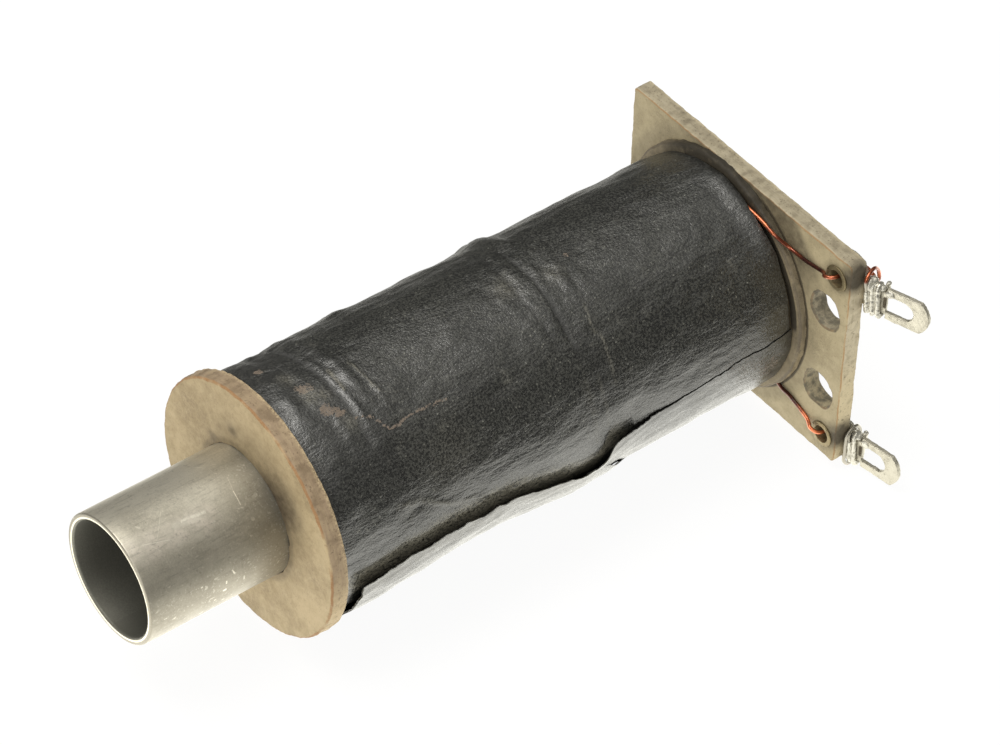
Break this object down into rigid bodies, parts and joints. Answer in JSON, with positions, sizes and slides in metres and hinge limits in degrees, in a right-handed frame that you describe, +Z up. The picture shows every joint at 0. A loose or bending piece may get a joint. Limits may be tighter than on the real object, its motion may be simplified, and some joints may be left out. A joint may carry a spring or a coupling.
{
  "type": "solenoid coil",
  "caption": "Bare tubular solenoid coil: wrapped winding on a thin metal tube between a round fibre flange and a fibre terminal plate with slotted solder lugs.",
  "frame": {"origin": "centre of the tube's bore on the terminal plate's rear face", "axes": "-Y along the bore towards the nose, +X towards the solder lugs, +Z up along the row of plate holes"},
  "size_m": [0.042, 0.082, 0.0292],
  "materials": {
    "core_metal": "drawn tube, dull and scratched",
    "fibre": "vulcanised fibre board, punched, aged and dirty",
    "paper": "varnished insulating paper",
    "black_wrapper": "black varnished crepe wrapper, creased and scuffed",
    "enamelled_copper": "enamelled copper wire",
    "tinned_metal": "tinned brass sheet, hot dipped and pitted",
    "eyelet_brass": "tarnished brass",
    "solder": "tin-lead solder, bright and lumpy"
  },
  "bodies": {
    "root": {"core_tube": "core_metal", "core_paper": "paper", "front_flange": "fibre", "terminal_plate": "fibre", "rear_washer": "fibre", "inner_wrap": "paper", "outer_wrap": "black_wrapper", "start_lug": "tinned_metal", "start_eyelet": "eyelet_brass", "start_lead": "enamelled_copper", "start_turns": "solder", "start_solder": "solder", "finish_lug": "tinned_metal", "finish_eyelet": "eyelet_brass", "finish_lead": "enamelled_copper", "finish_turns": "solder", "finish_solder": "solder", "winding_layer_01": "enamelled_copper", "winding_layer_02": "enamelled_copper", "winding_layer_03": "enamelled_copper", "winding_layer_04": "enamelled_copper", "winding_layer_05": "enamelled_copper", "winding_layer_06": "enamelled_copper", "winding_layer_07": "enamelled_copper", "winding_layer_08": "enamelled_copper", "winding_layer_09": "enamelled_copper", "winding_layer_10": "enamelled_copper", "winding_layer_11": "enamelled_copper", "winding_layer_12": "enamelled_copper"}
  },
  "joints": []
}
